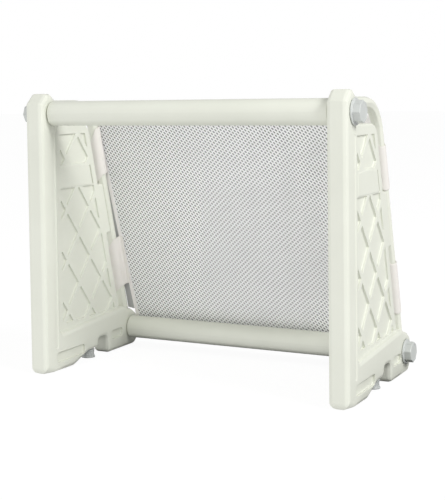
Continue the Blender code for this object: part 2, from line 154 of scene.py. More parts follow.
# Colours, most of them with the deeper tone that mottles them
IVORY = (0.755, 0.77, 0.685, 1.0)
IVORY_DEEP = (0.725, 0.74, 0.655, 1.0)
GREY = (0.60, 0.62, 0.605, 1.0)
GREY_DEEP = (0.55, 0.575, 0.555, 1.0)
YARN = (0.97, 0.97, 0.97, 1.0)
YARN_DEEP = (0.91, 0.91, 0.915, 1.0)
# Nearly black sheet inside the net: painted shade seen through the net's holes
SHADE_SHEET = (0.10, 0.10, 0.102, 1.0)
SHADE_SHEET_DEEP = (0.07, 0.07, 0.072, 1.0)
TAPE = (0.97, 0.95, 0.935, 1.0)
TAPE_DEEP = (0.91, 0.885, 0.87, 1.0)
CLOTH = (0.80, 0.775, 0.735, 1.0)
CLOTH_DEEP = (0.75, 0.725, 0.685, 1.0)
# Grey painted shade on the side hems' outer part, where the rim shades the tape
HEM_PAINTED_SHADE = (0.47, 0.475, 0.475, 1.0)
HOOK = (0.78, 0.78, 0.77, 1.0)
HOOK_DEEP = (0.66, 0.66, 0.65, 1.0)
CLEAR = (0.72, 0.745, 0.73, 1.0)
CLEAR_DEEP = (0.60, 0.63, 0.615, 1.0)
WHITE = (1.0, 1.0, 1.0, 1.0)

# Set and light: the sky's brightness by height, and how much of it comes from one side and from the other
FLOOR = (0.10, 0.10, 0.10, 1.0)
FLOOR_SIZE = 40.0
FLOOR_GLOW = 0.93
SKY = ((-1.0, 0.70), (-0.2, 1.0), (0.0, 1.0), (0.3, 0.92), (1.0, 0.42))
SKY_FROM = (-0.6, -0.8, 0.0)
SKY_FRONT = 1.25
SKY_BACK = 0.45
KEY_AT = (4.2, -1.0, 3.3)
KEY_AIM = (0.0, 0.0, 0.3)
KEY_SIZE = 1.8
KEY_POWER = 180.0
CARD = (0.08, 0.08, 0.078, 1.0)
CARD_LEVEL = -0.004
CARDS = {
    "bar": ((0.0, 0.165), (0.42, 0.065)),
    "left": ((-0.36, 0.04), (0.06, 0.17)),
    "right": ((0.342, 0.04), (0.085, 0.18)),
}

SLOPE = math.hypot(1.0, LEAN)
DOWN = Vector((LEAN / SLOPE, -1.0 / SLOPE))
OUT = Vector((1.0 / SLOPE, LEAN / SLOPE))
BAR_BEHIND = (BOTTOM_AXIS[0] - RIM_Y) * OUT.x + (BOTTOM_AXIS[1] - RIM_Z) * OUT.y
HEM_FRONT = BAR_BEHIND + BAR_R + GAP
NET_MID = HEM_FRONT + HEM_THICK / 2
FLAP_R = RIM_R + GAP + FLAP_THICK / 2

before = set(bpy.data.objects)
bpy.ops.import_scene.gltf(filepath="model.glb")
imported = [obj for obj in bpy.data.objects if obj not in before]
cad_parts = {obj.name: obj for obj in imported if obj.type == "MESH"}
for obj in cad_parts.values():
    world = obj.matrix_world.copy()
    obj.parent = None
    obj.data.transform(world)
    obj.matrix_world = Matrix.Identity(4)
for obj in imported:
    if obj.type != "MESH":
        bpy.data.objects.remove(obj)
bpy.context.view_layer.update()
scene = bpy.context.scene
PIECES = bpy.data.collections.new("goal_looks")
scene.collection.children.link(PIECES)


def hem_x(edge, z):
    """Hem edge, measured in from the panel's middle, at a height on the net."""
    share = (NET_TOP - z) / (NET_TOP - NET_BOTTOM)
    return edge[0] + (edge[1] - edge[0]) * share


def up_net(z, out=NET_MID):
    """Distance up the net's plane from the rim's reference point to a height."""
    return (z - RIM_Z - out * OUT.y) / -DOWN.y


def on_net(x, up, out):
    """Point of the net's plane, in the goal's frame."""
    y = RIM_Y - DEPTH / 2 - DOWN.x * up + OUT.x * out
    return Vector((x, y, RIM_Z - DOWN.y * up + OUT.y * out)) * MM


def round_axis(x, axis, reach, angle):
    """Point at a distance and an angle from an axis that runs across the goal."""
    y = axis[0] - DEPTH / 2 + reach * math.cos(angle)
    return Vector((x, y, axis[1] + reach * math.sin(angle))) * MM


def ripple(x, y, size, seed):
    """Smooth unevenness between -1 and 1 that repeats the same way every run."""
    return noise.noise(Vector((x / size, y / size, seed)))


def rolled(edge, radius, least=0.0):
    """Share of the full thickness that is left at a distance from a rolled edge."""
    return math.sqrt(max(least, 1 - max(0.0, 1 - edge / radius) ** 2))


def pinched(edge, deep, wide):
    """Depth of a seam's dent at a distance from the edge."""
    return deep * math.exp(-((edge - SEAM_INSET) / wide) ** 2)


def dimmed(colour, share):
    """The same colour, darker."""
    return tuple(part * share for part in colour[:3]) + (1.0,)


class Shader:
    """Principled material with a few shorthand ways to add nodes."""

    def __init__(self, name, rough, **sockets):
        self.material = bpy.data.materials.new(name)
        self.material.use_nodes = True
        self.tree = self.material.node_tree
        self.main = self.tree.nodes["Principled BSDF"]
        self.main.inputs["Roughness"].default_value = rough
        for label, value in sockets.items():
            self.main.inputs[label.replace("_", " ")].default_value = value
        self.place = self.node("ShaderNodeTexCoord").outputs["Object"]

    def node(self, kind, **settings):
        """New node with its settings."""
        made = self.tree.nodes.new(kind)
        for label, value in settings.items():
            setattr(made, label, value)
        return made

    def link(self, source, target):
        self.tree.links.new(source, target)

    def noise(self, scale, detail=2.0):
        """Cloudy unevenness over the surface."""
        made = self.node("ShaderNodeTexNoise")
        made.inputs["Scale"].default_value = scale
        made.inputs["Detail"].default_value = detail
        self.link(self.place, made.inputs["Vector"])
        return made.outputs["Fac"]

    def wave(self, period, direction):
        """Bands with a period in millimetres."""
        made = self.node("ShaderNodeTexWave", bands_direction=direction)
        made.inputs["Scale"].default_value = 2 * math.pi / 20 / (period * MM)
        made.inputs["Distortion"].default_value = 0.4
        made.inputs["Detail"].default_value = 1.0
        self.link(self.place, made.inputs["Vector"])
        return made.outputs["Fac"]

    def math(self, operation, first, second=None):
        """One step of arithmetic on values or numbers."""
        made = self.node("ShaderNodeMath", operation=operation)
        for socket, value in zip(made.inputs, (first, second)):
            if value is None:
                continue
            if isinstance(value, (int, float)):
                socket.default_value = value
            else:
                self.link(value, socket)
        return made.outputs[0]

    def spread(self, value, taken, given):
        """A range of the value stretched to another range and held at its ends."""
        made = self.node("ShaderNodeMapRange")
        for label, number in zip(("From Min", "From Max", "To Min", "To Max"), taken + given):
            made.inputs[label].default_value = number
        self.link(value, made.inputs["Value"])
        return made.outputs["Result"]

    def mix(self, share, first, second):
        """Blend of two colours."""
        made = self.node("ShaderNodeMix", data_type="RGBA")
        self.link(share, made.inputs["Factor"])
        for socket, value in ((made.inputs["A"], first), (made.inputs["B"], second)):
            if isinstance(value, tuple):
                socket.default_value = value
            else:
                self.link(value, socket)
        return made.outputs["Result"]

    def colour(self, value):
        self.link(value, self.main.inputs["Base Color"])

    def rough(self, value):
        self.link(value, self.main.inputs["Roughness"])

    def bump(self, height, strength, distance):
        """Relief from a height, with its depth in millimetres."""
        made = self.node("ShaderNodeBump")
        made.inputs["Strength"].default_value = strength
        made.inputs["Distance"].default_value = distance * MM
        self.link(height, made.inputs["Height"])
        self.link(made.outputs["Normal"], self.main.inputs["Normal"])


def axis_of(shader, axis):
    """One coordinate of the surface point."""
    parts = shader.node("ShaderNodeSeparateXYZ")
    shader.link(shader.place, parts.inputs[0])
    return parts.outputs[axis]


def moulded(name, light, deep, rough, grain, coat, seam=None):
    """Satin plastic: slow mottling, fine grain, uneven gloss and, where given, the mould's parting line."""
    made = Shader(name, rough, Specular_IOR_Level=0.4, Coat_Weight=coat, Coat_Roughness=0.18)
    slow = made.spread(made.noise(9.0, 4.0), (0.35, 0.68), (0.0, 1.0))
    speck = made.spread(made.noise(420.0, 1.0), (0.60, 0.74), (0.0, 0.35))
    made.colour(made.mix(made.math("MAXIMUM", slow, speck), light, deep))
    made.rough(made.spread(made.noise(70.0, 3.0), (0.3, 0.7), (rough - 0.07, rough + 0.07)))
    height = made.noise(grain, 2.0)
    if seam is not None:
        off = made.math("ABSOLUTE", axis_of(made, seam[0]))
        off = made.math("ABSOLUTE", made.math("SUBTRACT", off, seam[1] * MM))
        height = made.math("ADD", height, made.spread(off, (0.0, SEAM_WIDE * MM), (1.6, 0.0)))
    made.bump(height, 0.35, 0.12)
    return made.material


def woven(name, light, deep, pitch, grey=None):
    """Woven tape: crossing threads and slubs, and where asked for, grey painted shade on the part beyond a
    light edge.
    """
    made = Shader(name, 0.85, Sheen_Weight=0.25, Sheen_Roughness=0.5, Specular_IOR_Level=0.2)
    threads = made.math("MULTIPLY", made.wave(pitch, "X"), made.wave(pitch * 0.8, "Z"))
    slub = made.spread(made.noise(60.0, 3.0), (0.35, 0.7), (0.0, 0.7))
    tone = made.mix(made.math("MAXIMUM", made.spread(threads, (0.0, 1.0), (0.35, 0.0)), slub), light, deep)
    if grey is not None:
        edge, colour = grey
        inside = made.math("ABSOLUTE", axis_of(made, 0))
        span = made.math("MULTIPLY", axis_of(made, 2), edge[1])
        # Beyond the light edge the tape is painted grey as shade
        body = made.math("GREATER_THAN", made.math("SUBTRACT", inside, span), edge[0])
        tone = made.mix(body, tone, made.mix(threads, colour, dimmed(colour, 0.9)))
    made.colour(tone)
    made.bump(made.math("ADD", threads, made.noise(900.0, 2.0)), 0.45, 0.12)
    return made.material


def painted_shade_line():
    """Where a side hem's light edge ends and its painted shade begins: metres from the middle at the floor,
    and gain with height.
    """
    rise = (hem_x(HEM_INNER, NET_BOTTOM) - hem_x(HEM_INNER, NET_TOP)) / (NET_TOP - NET_BOTTOM)
    start = PANEL_SPAN / 2 - hem_x(HEM_INNER, 0.0) + UNSHADED_EDGE
    return start * MM, rise


def knitted(name, light, deep):
    """Knitted yarn: twisted fibres and a slow change of tone."""
    made = Shader(name, 0.8, Sheen_Weight=0.2, Sheen_Roughness=0.5, Specular_IOR_Level=0.25)
    slow = made.spread(made.noise(25.0, 3.0), (0.35, 0.7), (0.0, 0.8))
    twist = made.wave(0.55, "DIAGONAL")
    made.colour(made.mix(made.math("MAXIMUM", slow, made.spread(twist, (0.0, 1.0), (0.5, 0.0))), light, deep))
    made.bump(twist, 0.4, 0.1)
    return made.material


def hooked(name, light, deep):
    """Hook tape: dense rows of tiny hooks."""
    made = Shader(name, 0.7, Specular_IOR_Level=0.3)
    rows = made.math("MULTIPLY", made.wave(1.1, "X"), made.wave(1.3, "Z"))
    made.colour(made.mix(rows, deep, light))
    made.bump(made.math("ADD", rows, made.noise(1200.0)), 0.8, 0.4)
    return made.material


def clear_vinyl(name, light, deep):
    """Cloudy soft vinyl that lets some light through."""
    made = Shader(name, 0.22, Transmission_Weight=0.25, IOR=1.46, Specular_IOR_Level=0.5)
    made.colour(made.mix(made.spread(made.noise(130.0, 3.0), (0.3, 0.7), (0.0, 1.0)), light, deep))
    made.rough(made.spread(made.noise(260.0, 2.0), (0.3, 0.7), (0.15, 0.32)))
    made.bump(made.noise(700.0, 2.0), 0.15, 0.1)
    return made.material


def piece(name, mesh, material, slot, *nodes, body="frame"):
    """Finished piece that rides on a body and stands for the named nodes."""
    mesh.materials.clear()
    mesh.materials.append(material)
    mesh.shade_smooth()
    made = bpy.data.objects.new(name, mesh)
    PIECES.objects.link(made)
    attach(made, body)
    if nodes:
        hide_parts(*nodes)
    return made


def crease(mesh, degrees):
    """Keep edges crisp where faces meet more sharply than the angle."""
    mesh.set_sharp_from_angle(angle=math.radians(degrees))


def skin(name, rings, strip_caps=False):
    """Mesh through closed rings of points, capped at both ends by one face or by a strip of faces."""
    count = len(rings[0])
    points = [point for ring in rings for point in ring]
    faces = []
    for row in range(len(rings) - 1):
        here = row * count
        there = here + count
        for column in range(count):
            ahead = (column + 1) % count
            faces.append((here + column, here + ahead, there + ahead, there + column))
    for start, flip in ((0, True), ((len(rings) - 1) * count, False)):
        if strip_caps:
            caps = [(start + i, start + i + 1, start + count - 2 - i, start + count - 1 - i)
                    for i in range(count // 2 - 1)]
        else:
            caps = [tuple(start + i for i in range(count))]
        faces += [tuple(reversed(cap)) if flip else cap for cap in caps]
    mesh = bpy.data.meshes.new(name)
    mesh.from_pydata(points, [], faces)
    work = bmesh.new()
    work.from_mesh(mesh)
    bmesh.ops.remove_doubles(work, verts=work.verts, dist=1e-7)
    bmesh.ops.recalc_face_normals(work, faces=work.faces)
    work.to_mesh(mesh)
    work.free()
    return mesh


def eased_foot(point):
    """Point of a panel with the long lower edges of its front foot eased to a larger round."""
    y = point.y / MM + DEPTH / 2
    share = min(1.0, max(0.0, (FOOT_FADE[1] - y) / (FOOT_FADE[1] - FOOT_FADE[0])))
    radius = FOOT_ROUND * share
    off = abs(point.x) / MM - PANEL_SPAN / 2
    across = abs(off) - (THICK / 2 - radius)
    below = radius - point.z / MM
    reach = math.hypot(across, below)
    if across <= 0 or below <= 0 or reach <= radius:
        return point
    scale = radius / reach
    off = math.copysign(THICK / 2 - radius + across * scale, off)
    return Vector((math.copysign(PANEL_SPAN / 2 + off, point.x) * MM, point.y, (radius - below * scale) * MM))


def softened(node):
    """Moulded form of a solid: the same body with its edges slightly rounded and its front foot eased."""
    copy = bpy.data.objects.new("moulding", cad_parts[node].data.copy())
    scene.collection.objects.link(copy)
    remesh = copy.modifiers.new("skin", "REMESH")
    remesh.mode = "VOXEL"
    remesh.voxel_size = VOXEL * MM
    bpy.context.view_layer.update()
    seen = copy.evaluated_get(bpy.context.evaluated_depsgraph_get())
    mesh = bpy.data.meshes.new_from_object(seen)
    bpy.data.objects.remove(copy, do_unlink=True)
    for vert in mesh.vertices:
        if vert.co.z < FOOT_ROUND * MM:
            vert.co = eased_foot(vert.co)
    return mesh


def arc(centre, radius, start, end, steps):
    """Points of an arc as (radius, along) pairs, with angles in degrees."""
    points = []
    for step in range(steps + 1):
        angle = math.radians(start + (end - start) * step / steps)
        points.append((centre[0] + radius * math.cos(angle), centre[1] + radius * math.sin(angle)))
    return points


def bar_wall(angle):
    """How far a bar's wall stands off its true round.

    There is a soft flat in front that ends in a crease, and a thin ridge in front and behind.
    """
    turn = math.remainder(math.pi - angle, 2 * math.pi)
    high, low = (math.radians(end) for end in BAR_FLAT_ENDS)
    share = (high - turn) / (high - low)
    off = 0.0
    if 0 < share < 1:
        peak = 4 / 27
        off -= BAR_FLAT * share * share * (1 - share) / peak
    if abs(math.sin(angle)) < BAR_RIDGE_SINE:
        off += BAR_RIDGE
    return off


def bar(name, axis, seat_deep):
    """Round bar with a short neck at each end, its moulded flat and ridges, and its spigots."""
    end = PANEL_SPAN / 2 - THICK / 2 - GAP
    tip = PANEL_SPAN / 2 + THICK / 2 - seat_deep + GAP + NUT_BORE_DEEP - SPIGOT_SHORT
    shoulder = end - BAR_NECK
    neck = BAR_R - BAR_NECK_DEEP
    half = [(0.0, tip), (SPIGOT_R - SPIGOT_CHAMFER, tip), (SPIGOT_R, tip - SPIGOT_CHAMFER), (SPIGOT_R, end)]
    half += [(neck, end), (neck, shoulder)]
    half += arc((BAR_R - BAR_EASE, shoulder - BAR_EASE), BAR_EASE, 90, 0, 5)
    profile = half + [(radius, -along) for radius, along in reversed(half)]
    sides = 120
    rings = []
    for radius, along in profile:
        ring = []
        for side in range(sides):
            angle = 2 * math.pi * side / sides
            reach = radius + (bar_wall(angle) if radius > SPIGOT_R else 0.0)
            ring.append(round_axis(along, axis, reach, angle))
        rings.append(ring)
    mesh = skin(name, rings)
    piece(name, mesh, BAR_PLASTIC, "ivory_hdpe", name.replace("bar_", "crossbar_"))
    crease(mesh, 40)


def nut_profile():
    """Outline of a nut as (radius, along, how far the grips' flats count), from its bore round to its end."""
    long = FLANGE_THICK + GRIP_LONG
    bore = SPIGOT_R + GAP
    cut = FLANGE_R - FLANGE_CUT
    lip = FLANGE_CUT / 2
    dish = long - DISH_DEEP
    front = (FLANGE_R - FLANGE_EASE, FLANGE_THICK - FLANGE_EASE)
    root = (GRIP_R + FLANGE_EASE, FLANGE_THICK + FLANGE_EASE)
    shoulder = (GRIP_R - GRIP_EASE, long - GRIP_EASE)
    profile = [(bore, NUT_BORE_DEEP, 0.0), (bore, 0.0, 0.0), (cut, 0.0, 0.0), (cut, lip, 0.0)]
    profile += [(FLANGE_R - FLANGE_CHAMFER, lip, 0.0), (FLANGE_R, lip + FLANGE_CHAMFER, 0.0)]
    profile += [(*spot, 0.0) for spot in arc(front, FLANGE_EASE, 0, 90, 4)]
    profile += [(*spot, 1.0) for spot in arc(root, FLANGE_EASE, 270, 180, 4)]
    profile += [(*spot, 1.0) for spot in arc(shoulder, GRIP_EASE, 0, 90, 5)]
    return profile + [(GRIP_R - DISH_IN[0], long, 1.0), (GRIP_R - DISH_IN[1], dish, 0.6), (DISH_R, dish, 0.0)]


def nut(name, side, axis, seat_deep, facet):
    """Cap nut: undercut flange, eight flat grips parted by fine grooves, and an eased end with a dish."""
    face = PANEL_SPAN / 2 + THICK / 2 - seat_deep + GAP
    corner = 2 * math.pi / GRIP_SIDES
    flat = GRIP_R * math.cos(corner / 2)
    # Points along a grip, close together beside its grooves
    marks = [share * corner for share in (0.0, 0.022, 0.035, 0.1, 0.25, 0.5, 0.75, 0.9, 0.965, 0.978)]
    angles = [(number + facet) * corner + mark for number in range(GRIP_SIDES) for mark in marks]
    rings = []
    for radius, along, facets in nut_profile():
        ring = []
        for angle in angles:
            inside = (angle - facet * corner + 1e-9) % corner - corner / 2
            prism = flat / math.cos(inside) / GRIP_R
            groove = GROOVE_DEEP if corner / 2 - abs(inside) < GROOVE_SHARE * corner else 0.0
            reach = radius * (1 + (prism - 1) * facets) - groove * facets
            ring.append(round_axis(side * (face + along), axis, reach, angle))
        rings.append(ring)
    mesh = skin(name, rings)
    node = name.replace("cap_", "nut_")
    piece(name, mesh, NUT_PLASTIC, "grey_plastic", node, body=node + "_body")
    crease(mesh, 22)


def net_width(z):
    """Half the width of the mesh between the side hems."""
    return PANEL_SPAN / 2 - hem_x(HEM_INNER, z) - GAP


def net_layer(work, low, high, out, crown, shift, gap):
    """One face of the knit: slanting holes between rounded yarns, closed along the edges of the mesh."""
    steps = [Vector(step) for step in MESH_STEPS]
    long, wide = (Vector(half) for half in gap)
    limits = (up_net(low), up_net(high))
    centre = Vector((0.0, sum(limits) / 2))
    reach = int(2 * net_width(low) / steps[1].x)
    yarn = {}

    def spot(first, second):
        """Place of a hole, counted along both steps."""
        return centre + steps[0] * (first + shift) + steps[1] * (second + shift)

    def held(place, inset=0.0):
        """The place kept within the edges of the mesh."""
        up = min(limits[1] - inset, max(limits[0] + inset, place.y))
        width = net_width(low + (high - low) * (up - limits[0]) / (limits[1] - limits[0])) - inset
        return Vector((min(width, max(-width, place.x)), up))

    def corner(first, second):
        """Point of the yarn that neighbouring holes share."""
        key = (round(2 * first), round(2 * second))
        if key not in yarn:
            yarn[key] = work.verts.new(on_net(*held(spot(first, second)), out + crown))
        return yarn[key]

    sides = [(-1, -1), (0, -1), (1, -1), (1, 0), (1, 1), (0, 1), (-1, 1), (-1, 0)]
    for first in range(-reach, reach + 1):
        for second in range(-reach, reach + 1):
            around = [(first + a / 2, second + b / 2) for a, b in sides]
            free = [spot(*place) for place in around]
            moved = [(held(place) - place).length > 1e-6 for place in free]
            if all(moved):
                continue
            ring = [corner(*place) for place in around]
            rim = []
            for a, b in sides:
                ease = HOLE_CORNER if a and b else 1.0
                rim.append(held(spot(first, second) + (long * a + wide * b) * ease, EDGE_YARN))
            if min((rim[index] - rim[index + 4]).length for index in range(4)) < EDGE_YARN:
                work.faces.new(ring)
                continue
            hole = [work.verts.new(on_net(*place, out)) for place in rim]
            for index in range(8):
                ahead = (index + 1) % 8
                work.faces.new((ring[index], ring[ahead], hole[ahead], hole[index]))


def net_piece(name, material, layers, *nodes):
    """Knit of one or two faces."""
    low = NET_BOTTOM + HEM_BOTTOM + GAP
    high = NET_TOP - HEM_TOP - GAP
    work = bmesh.new()
    for out, crown, shift, gap in layers:
        net_layer(work, low, high, NET_MID + out, crown, shift, gap)
    bmesh.ops.remove_doubles(work, verts=work.verts, dist=1e-6)
    bmesh.ops.dissolve_degenerate(work, edges=work.edges, dist=1e-6)
    bmesh.ops.recalc_face_normals(work, faces=work.faces)
    mesh = bpy.data.meshes.new(name)
    work.to_mesh(mesh)
    work.free()
    made = piece(name, mesh, material, "net", *nodes)


def net():
    """Knit of two white faces with the same holes, and between them a nearly black sheet with small holes:
    painted shade that darkens the holes.
    """
    face = NET_THICK / 2 - YARN_CROWN
    faces = [(-face, -YARN_CROWN, 0.0, HOLE), (face, YARN_CROWN, 0.0, HOLE)]
    net_piece("net_knit", NET_YARN, faces, "net_mesh")
    net_piece("net_painted_shade", NET_SHADE_SHEET, [(0.0, 0.0, 0.5, SHADE_SHEET_HOLE)])


def tape(name, stations, material, *nodes):
    """Folded tape through stations of (left edge, right edge), pinched along its two seams."""
    shares = [0.0, 0.02, 0.06, 0.12, 0.2, 0.3, 0.4, 0.5, 0.6, 0.7, 0.8, 0.88, 0.94, 0.98, 1.0]
    rings = []
    last = len(stations) - 1
    for index, (left, right) in enumerate(stations):
        wide = math.dist(left, right)
        end = min(1.0, TAPE_TIP + (1 - TAPE_TIP) * min(index, last - index) / 2)
        loop = []
        for face in (-1, 1):
            for share in shares if face < 0 else reversed(shares):
                x = left[0] + (right[0] - left[0]) * share
                up = left[1] + (right[1] - left[1]) * share
                edge = min(share, 1 - share) * wide
                swell = TAPE_SWELL[0] * ripple(x, up, TAPE_SWELL[1], face) * min(1.0, edge / 2)
                full = HEM_THICK / 2 - TAPE_SPARE - pinched(edge, *TAPE_PINCH) + swell
                thick = max(THINNEST, full * rolled(edge, TAPE_EDGE)) * end
                loop.append(on_net(x, up, NET_MID + face * thick))
        rings.append(loop)
    return piece(name, skin(name, rings, strip_caps=True), material, "binding", *nodes)


def stitch(work, first, final, out):
    """One stitch: a short thread that rises between its ends, thinner where it goes into the cloth."""
    side = (final - first).normalized().cross(out).normalized()
    loops = []
    for share in (0.0, 0.15, 0.5, 0.85, 1.0):
        rise = math.sqrt(max(0.0, 1 - (2 * share - 1) ** 2))
        middle = first.lerp(final, share) + out * (STITCH_RISE * rise + STITCH_BASE)
        radius = STITCH_R * (STITCH_TIP + (1 - STITCH_TIP) * rise)
        loop = []
        for turn in range(STITCH_SIDES):
            angle = 2 * math.pi * turn / STITCH_SIDES
            reach = (side * math.cos(angle) + out * math.sin(angle)) * radius
            loop.append(work.verts.new(on_net(*(middle + reach))))
        loops.append(loop)
    for here, there in zip(loops, loops[1:]):
        for turn in range(STITCH_SIDES):
            ahead = (turn + 1) % STITCH_SIDES
            work.faces.new((here[turn], here[ahead], there[ahead], there[turn]))
    work.faces.new(loops[0])
    work.faces.new(loops[-1])


def stitches(name, line, front):
    """Row of stitches along a line of (x, up, out) points, on the front or the back of the binding."""
    work = bmesh.new()
    for start, ahead in zip(line, line[1:]):
        start = Vector(start)
        run = Vector(ahead) - start
        count = max(1, int(run.length / (STITCH_LONG + STITCH_GAP)))
        for index in range(count):
            first, final = (start + run * (index + share) / count for share in STITCH_SPAN)
            stitch(work, first, final, Vector((0, 0, front)))
    bmesh.ops.recalc_face_normals(work, faces=work.faces)
    mesh = bpy.data.meshes.new(name)
    work.to_mesh(mesh)
    work.free()
    return piece(name, mesh, THREAD, "binding")


def side_hem(side, name):
    """Binding down one side of the net, narrower beside the base, with a row of stitches on each face."""
    inward = THICK / 2 + 2 * GAP
    rows = 150
    stations = []
    for row in range(rows + 1):
        z = NET_BOTTOM + (NET_TOP - NET_BOTTOM) * row / rows
        outer = hem_x(HEM_OUTER, z)
        if z < HEM_STEP_Z:
            outer = inward
        edges = [(side * (PANEL_SPAN / 2 - x), up_net(z)) for x in (outer, hem_x(HEM_INNER, z))]
        stations.append(tuple(sorted(edges)))
    made = tape("binding_" + name, stations, SIDE_TAPE, "hem_" + name)
    for front, face in ((-1, "front"), (1, "back")):
        line = []
        for row in range(0, rows + 1, 10):
            z = NET_BOTTOM + (NET_TOP - NET_BOTTOM) * row / rows
            x = side * (PANEL_SPAN / 2 - hem_x(HEM_INNER, z) + SEAM_INSET)
            line.append((x, up_net(z), NET_MID + front * (HEM_THICK / 2 - STITCH_SINK)))
        stitches("stitch_%s_%s" % (name, face), line, front)


def cross_hem(name, low, high, *carriers):
    """Binding along the top or bottom of the net, with a row of stitches on each face."""
    columns = 160
    stations = []
    for column in range(columns + 1):
        share = column / columns * 2 - 1
        stations.append(((share * net_width(low), up_net(low)), (share * net_width(high), up_net(high))))
    made = tape("binding_" + name, stations, CROSS_TAPE, "hem_" + name)
    seam_z = high - SEAM_INSET if name == "bottom" else low + SEAM_INSET
    for front, face in ((-1, "front"), (1, "back")):
        out = NET_MID + front * (HEM_THICK / 2 - STITCH_SINK)
        line = [(share / 10 * (net_width(seam_z) - 4), up_net(seam_z), out) for share in range(-10, 11)]
        stitches("stitch_%s_%s" % (name, face), line, front)


def flap_line(start, end, reach):
    """Flap seen along the rim, from the hem's front to behind it, with its drop in front of the rim."""
    lay = HEM_FRONT - GAP - FLAP_THICK / 2
    behind = HEM_FRONT + HEM_THICK + PATCH_THICK + 2 * GAP + FLAP_THICK / 2
    edge = Vector((reach - FLAP_THICK - GAP, behind - FLAP_THICK - GAP * 2))
    leave = math.degrees(math.atan2(edge.y, edge.x) + math.acos(FLAP_R / edge.length)) - 360
    points = [(start, lay, 0)]
    if start > FLAP_R:
        points.append((FLAP_R + 2, lay - 1.5, 0))
    points.append((FLAP_R - 0.6, FLAP_R * 0.62, 0))
    steps = 24
    for step in range(steps + 1):
        degrees = FLAP_MEETS + (leave - FLAP_MEETS) * step / steps
        drop = min(1.0, max(0.0, (degrees - FLAP_DROP[0]) / (FLAP_DROP[1] - FLAP_DROP[0])))
        angle = math.radians(degrees)
        points.append((FLAP_R * math.cos(angle), FLAP_R * math.sin(angle), drop))
    tail = [tuple(edge), (edge.x + 0.8, behind - 0.8), (edge.x + 3, behind), (end, behind)]
    return [Vector(point) for point in points + [(x, out, 1) for x, out in tail]]


def even(points, step):
    """The same line with points a set step apart."""
    spots = [points[0]]
    for first, final in zip(points, points[1:]):
        count = max(1, round((final - first).xy.length / step))
        spots += [first.lerp(final, index / count) for index in range(1, count + 1)]
    return spots


def flap(side, name, level):
    """Flap of doubled cloth round the rim, with rolled ends, a soft swell and pinched seams."""
    inside, outside = FLAPS[level]
    inner = hem_x(HEM_INNER, sum(outside) / 2)
    line = even(flap_line(inner - 2, inner - 1, hem_x(HEM_OUTER, inside[1])), FLAP_STEP)
    count = len(line)
    normals = []
    ends = []
    for index, spot in enumerate(line):
        ahead = line[min(index + 1, count - 1)] - line[max(index - 1, 0)]
        normals.append(Vector((ahead.y, -ahead.x)).normalized())
        ends.append([up_net(first + (last - first) * spot.z, 0) for first, last in zip(inside, outside)])
    rows = int((ends[0][1] - ends[0][0]) / 1.5)
    rings = []
    for row in range(rows + 1):
        loop = []
        for face in (-1, 1):
            order = range(count) if face < 0 else range(count - 1, -1, -1)
            for index in order:
                bottom, top = ends[index]
                up = bottom + (top - bottom) * row / rows
                edge = min(up - bottom, top - up)
                tail = min(index, count - 1 - index) * FLAP_STEP
                roll = rolled(edge, FLAP_EDGE, 0.02) * rolled(tail, FLAP_EDGE, 0.05)
                thick = FLAP_THICK / 2 * roll - pinched(edge, *FLAP_PINCH)
                lift = 0.0
                if face > 0:
                    swell = FLAP_SWELL[0] * ripple(index * FLAP_STEP, up, FLAP_SWELL[1], side)
                    lift = max(0.0, swell) * min(1.0, tail / 8, edge / 6)
                spot = line[index].xy + normals[index] * face * (max(thick, THINNEST) + lift)
                loop.append(on_net(side * (PANEL_SPAN / 2 - spot.x), up, spot.y))
        rings.append(loop)
    label = "wrap_%s_%s" % (level, name)
    mesh = skin(label, rings, strip_caps=True)
    made = piece(label, mesh, FLAP_CLOTH, "binding", "flap_%s_%s" % (level, name))


def hook_patch(side, name, level):
    """Hook tape between the hem and the flap's end, with eased edges."""
    low, high = FLAPS[level][1]
    middle = (low + high) / 2
    ends = (hem_x(HEM_OUTER, middle) + PATCH_SIDE, hem_x(HEM_INNER, middle) - PATCH_SIDE)
    bottom = up_net(low, 0) + PATCH_END
    top = up_net(high, 0) - PATCH_END
    back = HEM_FRONT + HEM_THICK + GAP
    rows = 40
    columns = 8
    rings = []
    for row in range(rows + 1):
        up = bottom + (top - bottom) * row / rows
        loop = []
        for face in (0, 1):
            for step in range(columns + 1) if face == 0 else range(columns, -1, -1):
                x = ends[0] + (ends[1] - ends[0]) * step / columns
                edge = min(step, columns - step, row, rows - row)
                out = back + PATCH_AIR + face * (PATCH_THICK - 2 * PATCH_AIR) * (1.0 if edge else 0.6)
                loop.append(on_net(side * (PANEL_SPAN / 2 - x), up, out))
        rings.append(loop)
    label = "hooks_%s_%s" % (level, name)
    mesh = skin(label, rings, strip_caps=True)
    piece(label, mesh, HOOK_TAPE, "hook_tape", "hook_patch_%s_%s" % (level, name))


def suction_cup(side, name):
    """Soft cup with a thin neck, a beaded top, a waisted wall and a hollow underside."""
    top = LIP_Z - 3.5
    neck = [(0.0, CUP_TOP), (NECK_R - 0.8, CUP_TOP), (NECK_R, CUP_TOP - 0.8), (NECK_R, top)]
    bead = [(CUP_R - 2.4, top), (CUP_R - 1.4, top - 0.4), (CUP_R - 1, top - 1.4), (CUP_R - 1.8, top - 3)]
    wall = [(CUP_R - 2.5, top / 2), (CUP_R - 2, 6.0), (CUP_R - 1, 3.4), (CUP_R - 0.2, 1.8), (CUP_R, 1.0)]
    lip = [(CUP_R - 0.3, GAP), (CUP_R - 1.7, GAP)]
    hollow = [(CUP_R - 4, 2.4), (CUP_R - 7, 4.4), (4, 5.7), (0.0, 6.0)]
    sides = 72
    rings = []
    for radius, z in neck + bead + wall + lip + hollow:
        ring = []
        for step in range(sides):
            angle = 2 * math.pi * step / sides
            x = side * PANEL_SPAN / 2 + radius * math.cos(angle)
            ring.append(Vector((x, CUP_Y - DEPTH / 2 + radius * math.sin(angle), z)) * MM)
        rings.append(ring)
    mesh = skin("cup_" + name, rings)
    piece("cup_" + name, mesh, CUP_VINYL, "clear_pvc", "suction_cup_" + name)
    crease(mesh, 50)


